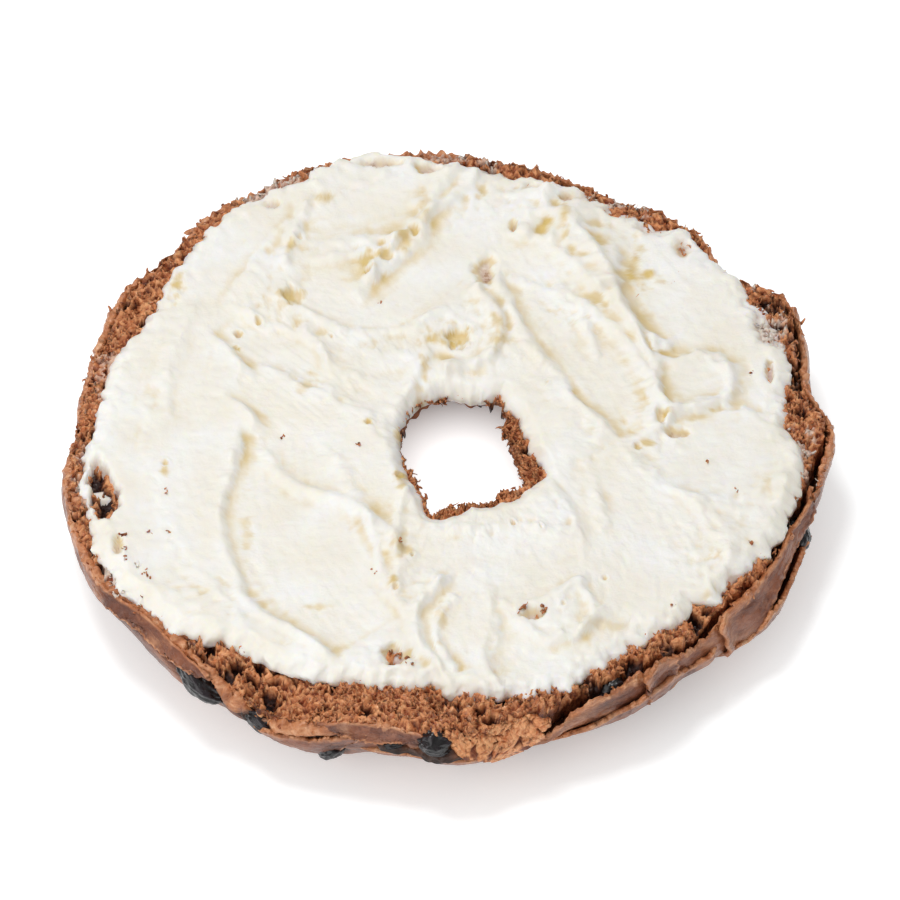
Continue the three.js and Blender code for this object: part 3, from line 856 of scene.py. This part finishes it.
# The cream cheese. A stroke is one pass of the knife: its path, half its width, how high it leaves the cheese
# above the cut, how much higher its left side is, and how high the ridges are on its left and right.
spreadShape = {
    "steps": 790,
    # how far the cheese reaches: direction and radius
    "edge": [
        (2.5, 48), (14, 51), (32, 50.5), (46, 51), (52, 49.6), (59, 48.4), (64, 49.2), (70, 50.4),
        (76, 49.6), (84, 50.4), (91, 51.4), (97, 53.6), (105, 55), (114, 53), (130, 52.5), (139, 51),
        (152, 48.4), (165, 50.4), (178, 50.4), (185, 52.6), (201, 54), (214, 55.6), (222, 53.8),
        (231, 50), (245, 49), (258, 47.6), (267, 46.6), (271, 48.4), (280, 49.2), (287, 50), (297, 47.8),
        (314, 47.2), (317.5, 47.4), (320, 49.6), (323.5, 48.4), (330, 50), (341, 51), (354, 51),
    ],
    "holeEdge": [
        (17, 9), (36, 9.6), (47, 9.4), (59, 10.4), (71, 8.4), (84, 7.9), (97, 9.2), (115, 9.6),
        (141, 9.3), (163, 9.1), (190, 8.6), (216, 9.4), (240, 10.7), (250, 14.2), (258, 14.2),
        (268, 13.6), (277, 11.6), (290, 12.2), (306, 12.6), (322, 12.7), (333, 13.2), (353, 9.8),
    ],
    # how far the edges stray from those lines, and the circles along which that noise is read
    "edgeWander": (0.7, 0.5), "holeWander": 0.4,
    "rimPath": 50, "holePath": 12,
    "level": 2,
    "strokes": [
        ([(-26, 44), (-38, 28), (-44, 8), (-45, -12), (-38, -31)], 7, 1.8, -0.3, 0, 0.4),
        ([(-34, 20), (-36, 2), (-32, -18), (-24, -35)], 6, 1.9, 0.2, 0.5, 0.2),
        ([(-19, 38), (-7, 42), (4, 46)], 4.6, 1.8, 0.2, 0.3, 0.4),
        ([(-21, 27), (-12, 25), (-2, 27)], 6, 1.45, 0.1, 0.3, 0.3),
        ([(9, 49), (4, 38), (-3, 29), (-10, 22)], 5.6, 1.5, 0.2, 0.2, 0.9),
        ([(-32, 19), (-25, 14), (-19, 8)], 4.2, 1.4, 0.1, 0.5, 0.4),
        ([(-28, 8), (-18, -2), (-8, -15)], 5.4, 1.8, 0.3, 0.2, 0.6),
        ([(-24, -2), (-23, -14), (-20, -26), (-12, -38)], 8.2, 1.35, 0.2, 0.3, 0.5),
        ([(8, 36), (15, 24), (23, 10), (27, 0)], 5.4, 1.6, 0.3, 0.6, 0.5),
        ([(24, 40), (33, 26), (40, 12), (44, 0)], 7.5, 1.1, 0.2, 0.1, 0.5),
        ([(30, 10), (35, 8.5), (40, 9)], 4.6, 1.7, 0.1, 0.3, 0.5),
        ([(29, -7), (38, -5), (47, -4)], 7, 1.5, -0.1, 0.4, 0.2),
        ([(20, -8), (27, -20), (29, -32), (24, -42)], 8, 1.6, 0.1, 0.3, 0.6),
        ([(-3, -23), (7, -26), (18, -24)], 5.5, 1.7, 0.1, 0.4, 0.4),
        ([(5, -36), (12, -44), (20, -44), (25, -36)], 5, 1.3, 0.2, 0.7, 0.2),
        ([(3, -28), (1, -36), (2, -44)], 4.2, 1.6, 0.2, 0.4, 0.7),
    ],
    # a ridge is a line of cheese that a lifted knife left standing, steeper on its left: path, half-width,
    # height
    "ridges": [
        ([(4, 26), (7.5, 19), (5, 12), (-0.5, 10.5)], 1.5, 1.3),
        ([(-3, 13.5), (-6, 6), (-7.5, 0)], 1.3, 0.9),
        ([(29.5, 17), (30, 8), (29, 0.5)], 1.2, 0.9),
        ([(16, 26), (24, 18), (30, 7)], 1.4, 0.8),
        ([(17, 41), (21, 34), (24, 27)], 4.2, 1.7),
        ([(14.5, 47), (14, 41), (11, 36)], 1.6, 1.2),
        ([(-6.5, -12), (-7.5, -20), (-7, -30)], 1.5, 0.9),
        ([(2, 51), (-3, 42), (-4.5, 35), (-11, 28)], 1.7, 1.1),
        ([(-19.8, 46), (-22, 38), (-23.6, 31)], 1.4, 0.8),
        ([(38.7, 13.3), (40.5, 9.4), (39.4, 5.2), (33.2, 3.2)], 1.2, 0.6),
        ([(9, 28.2), (14, 25.8), (18.6, 21.3), (21.3, 13.3)], 1.2, 0.5),
        ([(23.2, 27.3), (26.4, 20.2), (31.4, 15.3)], 1.4, 0.7),
        ([(-25.9, -4.5), (-22.2, -10.5), (-14.5, -14), (-8.7, -19.4), (-7.6, -23.5)], 1.5, 0.7),
        ([(20.2, -7.1), (22.3, -18.3)], 1.3, 0.5),
        ([(-37, 22), (-40, 12), (-40.5, 2)], 1.6, 0.4),
        ([(36, -14), (40, -22), (38, -30)], 1.6, 0.5),
        ([(0.6, -31.6), (-1.9, -37.6), (0.6, -44.5)], 1.2, 0.7),
    ],
    # rough places, where the cheese was dabbed and not wiped: x, y, half-width, half-height
    "rough": [
        (-36, -35, 8, 8), (-22, -46, 9, 4), (10, 45, 12, 5), (-24, 22, 5, 5), (2, -18, 10, 3),
        (38, -24, 6, 6), (20, 22, 7, 5), (30, 0, 4, 6), (4, 12, 6, 6),
    ],
    # painted shadows, tinted yellow beside the ridges and in the pits: x, y, half-width, half-height,
    # strength
    "paintedShadows": [
        (0.4, 16.6, 2.8, 1.8, 1), (6.9, 18, 1, 3.4, 0.7), (27.8, 28.6, 2.6, 1.3, 1),
        (27, 32.6, 1.1, 3, 0.8), (16.6, 39, 0.8, 2.8, 0.8), (30.9, 1.6, 1.2, 1, 1),
        (28.2, -3, 0.9, 0.6, 0.8), (-7.2, -9.8, 0.9, 1.8, 1), (-6.8, -22.9, 1.2, 1.4, 0.7),
        (-7.9, -29.6, 0.8, 1.2, 0.9), (-40.5, -8.6, 0.9, 0.9, 0.8), (36.4, -30.6, 1, 1, 0.8),
        (45.3, -10.8, 0.7, 1.8, 0.4), (-1, -35, 0.8, 3.4, 0.7), (22, -36.5, 2.4, 0.8, 0.4),
        (-23.4, 24.8, 2, 1.4, 0.9), (-6.5, 35.5, 1.2, 2.6, 0.8), (-9.2, 32.4, 1.8, 1, 0.9),
        (-11.6, 28.8, 1, 0.8, 1), (41, 6, 0.8, 2.4, 0.4), (-28.8, -21, 0.8, 5, 0.5),
        (-18.5, -33, 1.6, 0.4, 0.5), (-18.6, 43.2, 1.8, 0.9, 0.8), (-23.1, 33.4, 0.5, 1.2, 0.8),
        (-39.4, 26.2, 0.9, 2.4, 0.9), (-30.5, 17.8, 0.6, 0.6, 1), (-27.8, 20.2, 0.6, 0.5, 1),
        (-30.6, 15, 0.4, 0.5, 1), (-20.6, 8.2, 1.2, 1.8, 0.6), (-3.4, 10, 0.7, 2, 0.8),
        (-4.3, 5.8, 0.8, 1.4, 0.6), (-11.6, 0.3, 0.6, 0.5, 0.9), (-7.2, -1.2, 0.6, 1.4, 0.8),
        (-4, 41, 0.9, 3, 0.6),
    ],
    # a pit is a hollow that opened as the cheese was dragged: x, y, radius, depth
    "pits": [
        (-23.2, 25, 1.5, 0.9), (-30.4, 17.6, 0.6, 0.8), (-27.6, 19.8, 0.6, 0.7), (1.4, 16.4, 2, 1),
        (-30.6, 15, 0.5, 0.6), (-11.6, 0.3, 0.5, 0.5), (30.4, 1.6, 1, 0.7), (32.5, -1.6, 0.7, 0.4),
        (26.8, -3.6, 0.5, 0.5), (-7.7, -30.4, 0.6, 0.7), (-7.2, -9.2, 0.5, 0.5), (-5.3, -24, 0.5, 0.6),
        (-40.6, -7, 0.6, 0.3), (-11.6, 28.8, 0.8, 0.8), (-9, 32, 1.1, 0.5), (-22, 35.8, 0.8, 0.5),
        (-5, 37, 0.8, 0.5), (22, -28, 0.4, 0.3), (9, -18, 0.4, 0.4), (13, -19, 0.4, 0.4),
        (-17, 17, 0.4, 0.4), (-33, -16, 0.3, 0.3), (14, 8, 0.4, 0.4), (16, -33, 0.4, 0.4),
    ],
    # thin places, where the crumb shows through: x, y, half-width, half-height, level left
    "thin": [
        (-50.1, -9.2, 1.3, 2.8, -3), (-49.2, -13, 2, 3, -3), (-46.9, -22, 0.6, 1.8, 0.6),
        (-45.2, -31, 1.4, 0.6, 0.6), (-7.4, -42, 2.2, 1.9, 0.3), (11.8, -34.4, 2, 0.9, 0.5),
        (46.2, 20.5, 2.6, 4.6, 0.1), (9.4, 38, 0.7, 1.6, 0.15), (5.2, 29.5, 1.7, 2.8, 0.5),
        (46.1, 10.8, 0.45, 1.8, 0), (17.2, 44, 1, 0.8, 0.3), (13.4, 46.4, 3.4, 1.3, 0.5),
        (19.5, 44.6, 2.6, 1.3, 0.4), (24.6, 42, 2.8, 1.5, 0.35), (29.6, 38.8, 2.6, 1.5, 0.4),
        (34.2, 34.6, 1.8, 2, 0.5), (-9.8, 50.6, 3.4, 0.8, 0.4), (-2.4, 49.6, 2.6, 1.3, 0.35),
        (32.5, -1, 1.6, 1, 0.6), (-25.8, 42.6, 1.3, 0.7, 0.4),
    ],
}


def spreadOuter(angle):
    edge = outlineRadius(spreadShape["edge"], angle)
    slow = wander(angle, spreadShape["rimPath"], 4.0, 2.2, 2)
    quick = wander(angle, spreadShape["rimPath"], 1.8, 6.2, 2)
    edge += spreadShape["edgeWander"][0] * slow + spreadShape["edgeWander"][1] * quick
    return np.minimum(edge, crustRadius(angle) - 0.5)


def spreadInner(angle):
    edge = outlineRadius(spreadShape["holeEdge"], angle)
    return edge + spreadShape["holeWander"] * wander(angle, spreadShape["holePath"], 2.6, 5.1, 2)


def cheeseHeight(x, y, edgeGap):
    # height of the cheese's top above the cut face
    flat = onFloor(x, y)
    soft = fractalNoise(flat, 11, 2, 1.5)
    ragged = fractalNoise(flat, 3.6, 2, 4.5)
    fluff = fractalNoise(flat, 1.5, 3, 8.5)
    height = spreadShape["level"] + 0.4 * soft + 0.22 * ragged
    rough = np.full_like(x, 0.7)
    for path, halfWidth, level, tilt, left, right in spreadShape["strokes"]:
        side, share, beyond = alongLine(curvePoints(path), x, y)
        wide = halfWidth * (0.75 + 0.5 * smoothStep(0, 0.5, share) * smoothStep(0, 0.35, 1 - share))
        wide = wide * (1 + 0.1 * soft) + 0.5 * ragged
        reach = np.abs(side)
        inside = (1 - smoothStep(-1.0, 0.4, reach - wide)) * hump(beyond, 1.8)
        blade = level + tilt * side / wide + 0.25 * (side / wide) ** 2
        drag = np.stack([side / 0.9, share * 2.2, np.full_like(x, wide.mean())], 1)
        blade += 0.05 * fractalNoise(drag, 1.0, 2, 3.3) + 0.12 * soft
        height = height * (1 - inside) + blade * inside
        rough = rough * (1 - 0.85 * inside)
        ridge = np.where(side > 0, left, right) * (0.75 + 0.7 * ragged)
        bank = hump(reach - wide - 0.35, 0.9) * hump(beyond, 1.0) * smoothStep(0, 0.1, share)
        height += np.maximum(ridge, 0) * bank
        rough = np.maximum(rough, bank * 0.9)
    for path, wide, tall in spreadShape["ridges"]:
        side, share, beyond = alongLine(curvePoints(path), x, y)
        reach = wide * (0.8 + 0.3 * ragged) * np.where(side > 0, 0.62, 1.1)
        bank = hump(side, reach) * hump(beyond, 0.9) * (0.7 + 0.3 * share)
        height += tall * bank * (0.85 + 0.4 * ragged)
        rough = np.maximum(rough, bank)
    for pitX, pitY, radius, depth in spreadShape["pits"]:
        away = np.hypot(x - pitX, (y - pitY) * 0.8) + radius * (0.35 * ragged + 0.3 * fluff)
        height -= depth * (1 - smoothStep(radius * 0.35, radius, away))
        height += 0.18 * hump(away - radius * 1.15, radius * 0.3)
    for spot in spreadShape["rough"]:
        rough = np.maximum(rough, 1.7 * hump(awayFrom(x, y, spot), 1))
    holeX, holeY = ringShape["holeCentre"]
    byHole = 1 - smoothStep(13, 20, np.hypot(x - holeX, y - holeY))
    rough = np.maximum(rough, 1.5 * (1 - smoothStep(1.0, 5.5, edgeGap))) * (1 - 0.75 * byHole)
    height += rough * (0.16 * fluff + 0.1 * np.abs(ragged)) + 0.03 * fluff
    for *spot, level in spreadShape["thin"]:
        away = awayFrom(x, y, spot) + 0.4 * ragged + 0.22 * fluff
        height += (level - height) * (1 - smoothStep(0.3 if level > 0 else 0.6, 1.35, away))
    return height


def spreadSection():
    # up is 0 under the cheese and 1 on its top
    return [
        *chain((0.03, 0), ((0.97, 0), 7), ((0.998, 0.05), 3)),
        (0.998, 0.05), (1.001, 0.25), (1.001, 0.5), (0.997, 0.74), (0.99, 0.9),
        *chain((0.982, 1), ((0.02, 1), 104)),
        (0.02, 1), (0.01, 0.9), (0.003, 0.7), (0, 0.4), (0.006, 0.1),
    ]


def makeCheese():
    piece, angle, across, up = spinRing("creamCheeseSpread", spreadSection(), spreadShape["steps"])
    outer = spreadOuter(angle)
    inner = spreadInner(angle)
    x, y = acrossRing(angle, across, inner, outer)
    edgeGap = np.minimum(1 - across, across) * (outer - inner)
    height = cheeseHeight(x, y, edgeGap)
    # the cheese thins to a torn edge
    feather = 0.45 + 0.2 * fractalNoise(onFloor(x, y), 3.0, 2, 8.2)
    height = np.where(height > 0.3, height * (feather + (1 - feather) * smoothStep(0, 2.4, edgeGap)), height)
    under = np.minimum(-0.9, height - 0.5)
    points = np.stack([x, y, cutHeight + under + (height - under) * up], 1)
    nearTop = smoothStep(0.0, 0.3, up)
    byHole = smoothStep(0.1, 0.2, across)
    swirl = vectorNoise(points, 1.5, 2, 3.0)
    swirl *= (0.3 * nearTop * (0.25 + hump(edgeGap, 1.6)) * (0.4 + 0.6 * byHole))[:, None]
    points += swirl
    setPoints(piece, points * mm)
    smoothed = neighbourMean(piece, height, 30)
    inField = smoothStep(1.2, 3.2, edgeGap)
    patchy = 0.7 + 0.4 * fractalNoise(points, 6, 2, 21.0)
    # painted shade: the cheese is tinted yellow where it lies below its smoothed height, away from its edges
    hollow = smoothStep(0.02, 0.38, smoothed - height) * inField * patchy
    blurred = fractalNoise(points, 1.8, 4, 23.0) + 0.5 * fractalNoise(points, 5, 1, 25.0)
    # painted shadows beside the ridges and in the pits, tinted yellow like the hollows' painted shade
    for *shadowSpot, strength in spreadShape["paintedShadows"]:
        hollow = np.maximum(hollow, strength * (1 - smoothStep(0, 1.5, awayFrom(x, y, shadowSpot) + blurred)))
    addAttribute(piece, "hollow", hollow)
    addAttribute(piece, "thin", (1 - smoothStep(0.3, 0.95, height)) * (0.25 + 0.75 * inField))
    piece.data.materials.append(cheeseMaterial)
    return piece


cheese = makeCheese()
print("cheese made:", len(cheese.data.vertices), "points")

# Curled threads and flakes that the knife pulled up, all over the open crumb and along the crust's cut edge
shredShape = {
    "onCrumb": 2200, "onEdge": 260,
    "length": (0.3, 1.2), "width": (0.08, 0.22), "bend": (0.8, 3.0),  # bends are in radians
    # crumbs dragged into the cheese: x, y
    "specks": [
        (-10, 23.6), (-10.5, -26.9), (-7, -22.6), (-13.1, -3.3), (-40.7, -12.1), (-39.8, -19.3),
        (-42.5, -19.8), (-23.9, -1.6), (37.1, -6.8), (42.6, -21.9), (31.7, -32.9), (40.9, -11.8),
        (-46.9, -20.6), (-46.2, -23), (-45.6, -25), (-44.6, -26.2), (-43.2, -27.2), (-42.4, -28),
        (-46.6, -29.4), (-46, -30.6), (-45, -31.6), (-43.9, -32.2), (-43.3, -31.6), (10, -34.2),
        (10.6, -33.6), (13.2, -33.7), (13.8, -34.3), (-8.2, -40.8), (-7, -41.4), (-6, -42.6),
        (-5.6, -43.6), (-8, -42.6), (44.4, 20), (46, 17), (43.6, 10.4), (45.2, 22.6),
    ],
    "perSpeck": 3,
}


def makeShreds():
    bm = bmesh.new()
    bmesh.ops.create_cone(bm, cap_ends=True, segments=4, radius1=1, radius2=0.45, depth=1)
    lengthways = [edge for edge in bm.edges if abs(edge.verts[0].co.z - edge.verts[1].co.z) > 0.5]
    bmesh.ops.subdivide_edges(bm, edges=lengthways, cuts=3, use_grid_fill=True)
    template = bpy.data.meshes.new("shred")
    bm.to_mesh(template)
    bm.free()
    specks = np.repeat(shredShape["specks"], shredShape["perSpeck"], axis=0)
    count = shredShape["onCrumb"] + shredShape["onEdge"] + len(specks)
    bm = bmesh.new()
    for _ in range(count):
        bm.from_mesh(template)
    piece = newPiece("tornCrumb", bm)
    local = getPoints(piece).reshape(count, -1, 3)
    bpy.data.meshes.remove(template)

    dice = np.random.default_rng(5)
    crumbPoints = getPoints(crumb) / mm
    x, y, z = crumbPoints.T
    angle = np.arctan2(y, x)
    radius = np.hypot(x, y)
    holeX, holeY = ringShape["holeCentre"]
    holeAngle = np.arctan2(y - holeY, x - holeX)
    bare = radius > spreadOuter(angle) - 0.1
    bare |= np.hypot(x - holeX, y - holeY) < spreadInner(holeAngle) - 0.1
    for hollow in crumbShape["hollows"]:
        bare |= awayFrom(x, y, hollow) < 0.8
    # threads stand on the high walls between the cells
    bareWalls = np.flatnonzero(bare & (z + cutSag(angle, radius) > cutHeight - 0.7))
    crustPoints = getPoints(crust) / mm
    rimReach = np.hypot(*crustPoints[:, :2].T)
    rimSag = cutSag(np.arctan2(crustPoints[:, 1], crustPoints[:, 0]), rimReach)
    rim = np.flatnonzero((crustPoints[:, 2] + rimSag > cutHeight - 1.0) & (rimReach > 40))
    specks = specks + dice.uniform(-0.4, 0.4, specks.shape)
    cheesePoints = getPoints(cheese) / mm
    gaps = np.hypot(*(cheesePoints[None, :, :2] - specks[:, None]).transpose(2, 0, 1))
    onCheese = np.where(gaps < 0.4, cheesePoints[None, :, 2], cutHeight - 0.6).max(axis=1)
    base = np.concatenate([crumbPoints[dice.choice(bareWalls, shredShape["onCrumb"])],
                           crustPoints[dice.choice(rim, shredShape["onEdge"])],
                           np.column_stack([specks, onCheese + 0.05])])
    base[:, 2] -= 0.1

    def pick(name):
        low, high = shredShape[name]
        return dice.uniform(low, high, (count, 1))

    turn = dice.uniform(0, 2 * math.pi, count)
    lift = dice.uniform(-0.35, 0.4, count)
    heading = np.stack([np.cos(turn) * np.cos(lift), np.sin(turn) * np.cos(lift), np.sin(lift)], 1)
    side = np.stack([-np.sin(turn), np.cos(turn), dice.uniform(-0.6, 0.6, count)], 1)
    side /= np.linalg.norm(side, axis=1)[:, None]
    curl = np.cross(heading, side) * dice.choice((-1, 1), count)[:, None]
    t = local[:, :, 2] + 0.5
    length, width, bend = pick("length"), pick("width"), pick("bend")
    swept = bend * t
    forward = length * np.sin(swept) / bend
    sideways = length * (1 - np.cos(swept)) / bend
    outward = curl[:, None] * np.cos(swept)[:, :, None] - heading[:, None] * np.sin(swept)[:, :, None]
    points = base[:, None] + heading[:, None] * forward[:, :, None] + curl[:, None] * sideways[:, :, None]
    points += side[:, None] * (local[:, :, 0] * width * 1.5)[:, :, None]
    points += outward * (local[:, :, 1] * width * 0.5)[:, :, None]
    setPoints(piece, points.reshape(-1, 3) * mm)
    # painted highlight, stronger towards each shred's free end, and painted shade given at random to some
    # shreds
    addAttribute(piece, "tipHighlight", (dice.uniform(0.0, 0.6, (count, 1)) + 0.5 * t).ravel())
    addAttribute(piece, "poreShade", np.repeat(dice.uniform(-1.2, 0.6, count), local.shape[1]))
    addAttribute(piece, "smear", np.repeat(smearShare(*base[:, :2].T) > 0.4, local.shape[1]) * 0.8)
    piece.data.materials.append(crumbMaterial)
    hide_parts("bagel_half")
    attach(piece, "root")


makeShreds()
print("torn crumb made:", shredShape["onCrumb"] + shredShape["onEdge"], "shreds and the specks")


def makeRaisin(node, seed):
    roll, long, tall, deep, (_, _, sunk) = raisinShape["raisins"][node]
    angle, up = raisinPlace(node)
    x, y = acrossRing(angle, float(crustAcross(up)), holeRadius(angle), crustRadius(angle))
    out = wallLumps(np.array([[x, y, up]]), angle, up)[0] - sunk
    centre = (x + math.cos(angle) * out, y + math.sin(angle) * out, up)
    bm = bmesh.new()
    bmesh.ops.create_icosphere(bm, subdivisions=5, radius=0.5)
    piece = newPiece(node + "_skin", bm)
    points = getPoints(piece)
    creases = np.abs(fractalNoise(points * (0.6, 1.4, 1.4), 0.34, 3, seed * 3.7))
    dents = fractalNoise(points, 0.8, 2, seed * 1.9)
    swell = 1 + raisinShape["dents"] * dents + raisinShape["creases"] * (creases - 0.22)
    points = points * swell[:, None] * (long, tall, deep)
    turn = Matrix.Rotation(angle + math.pi / 2, 3, "Z") @ Matrix.Rotation(math.pi / 2, 3, "X")
    turn = turn @ Matrix.Rotation(math.radians(roll), 3, "Z")
    points = points @ np.array(turn).T + np.array(centre)
    points[:, 2] = np.maximum(points[:, 2], raisinShape["lowest"])
    setPoints(piece, points * mm)
    addAttribute(piece, "ridge", smoothStep(0.3, 0.7, creases))
    piece.data.materials.append(raisinMaterial)
    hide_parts(node)
    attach(piece, "root")


for seed, node in enumerate(raisinShape["raisins"], 1):
    makeRaisin(node, seed)
print("raisins made:", len(raisinShape["raisins"]))

for piece in (crust, crumb):
    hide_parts("bagel_half")
    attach(piece, "root")
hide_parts("cream_cheese")
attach(cheese, "root")

# A camera from in front and above, two soft lamps and a glowing board. Places are in metres.
studio = {
    "elevation": 50,
    "lens": 400, "sensorWidth": 36, "clipStart": 0.05,
    "distance": 1.43,
    "target": (0.0001, -0.0030, 0.0155),
    "floorSize": 3,
    # painted light and shadow: the board glows brightest under the hole, where shade would fall, dimmest
    # under the bread as a painted shadow, and evenly around it; and where it changes, in mm
    "paintedGlow": (0.95, 0.26, 0.62),
    "glowCentre": (1.7, 6), "holeReach": (6, 13), "breadReach": (42, 60),
    # lamps: place, size across, power
    "lamps": {"softKey": ((-0.13, 0.06, 0.7), 0.24, 2.34), "softFill": ((-0.4, -0.48, 0.42), 0.6, 1.4)},
    "lampAim": (0, 0, 0.01),
    "skyLight": 0.38,
}


def makeFloor():
    # Matt white board that glows though it is no lamp: painted light brightest under the bagel's hole and a
    # painted shadow under the bread, so only a soft shadow marks it.
    bm = bmesh.new()
    bmesh.ops.create_grid(bm, x_segments=1, y_segments=1, size=studio["floorSize"] / 2)
    floor = newPiece("floor", bm)
    material = newMaterial("whiteBoard")
    place = addNode(material, "TexCoord", output="Object")
    holeX, holeY = studio["glowCentre"]
    fromHole = addNode(material, "VectorMath", [place, (holeX * mm, holeY * mm, 0)], "Value",
                       operation="DISTANCE")
    fromMiddle = addNode(material, "VectorMath", [place], "Value", operation="LENGTH")
    paintedLightUnderHole, paintedShadowUnderBread, onBoard = studio["paintedGlow"]
    inner, outer = studio["holeReach"]
    hole = addNode(material, "MapRange", [fromHole, inner * mm, outer * mm, paintedLightUnderHole, paintedShadowUnderBread])
    inner, outer = studio["breadReach"]
    around = addNode(material, "MapRange", [fromMiddle, inner * mm, outer * mm, paintedShadowUnderBread, onBoard])
    paintedGlow = addNode(material, "Math", [hole, around], operation="MAXIMUM")
    board = addNode(material, "BsdfDiffuse", {"Color": "#e3e7e8"})
    light = addNode(material, "Emission", {"Color": "#ffffff", "Strength": paintedGlow})
    addNode(material, "OutputMaterial", {"Surface": addNode(material, "AddShader", [board, light])})
    floor.data.materials.append(material)


def makeLight(name, place, size, power):
    light = bpy.data.lights.new(name, "AREA")
    light.shape = "DISK"
    light.size = size
    light.energy = power
    lamp = bpy.data.objects.new(name, light)
    lamp.location = place
    lamp.rotation_euler = (Vector(studio["lampAim"]) - Vector(place)).to_track_quat("-Z", "Y").to_euler()
    bpy.context.scene.collection.objects.link(lamp)


def makeCamera():
    camera = bpy.data.objects.new("camera", bpy.data.cameras.new("camera"))
    camera.data.lens = studio["lens"]
    camera.data.sensor_width = studio["sensorWidth"]
    camera.data.clip_start = studio["clipStart"]
    tilt = math.radians(studio["elevation"])
    back = Vector((0, -math.cos(tilt), math.sin(tilt)))
    camera.location = Vector(studio["target"]) + back * studio["distance"]
    camera.rotation_euler = (-back).to_track_quat("-Z", "Y").to_euler()
    bpy.context.scene.collection.objects.link(camera)
    bpy.context.scene.camera = camera


makeFloor()
for name, (place, size, power) in studio["lamps"].items():
    makeLight(name, place, size, power)
makeCamera()
scene = bpy.context.scene
scene.world = bpy.data.worlds.new("studio")
scene.world.use_nodes = True
sky = scene.world.node_tree.nodes["Background"].inputs
sky["Color"].default_value = linearColour("#ffffff")
sky["Strength"].default_value = studio["skyLight"]
scene.view_settings.view_transform = "Standard"
print("studio set")
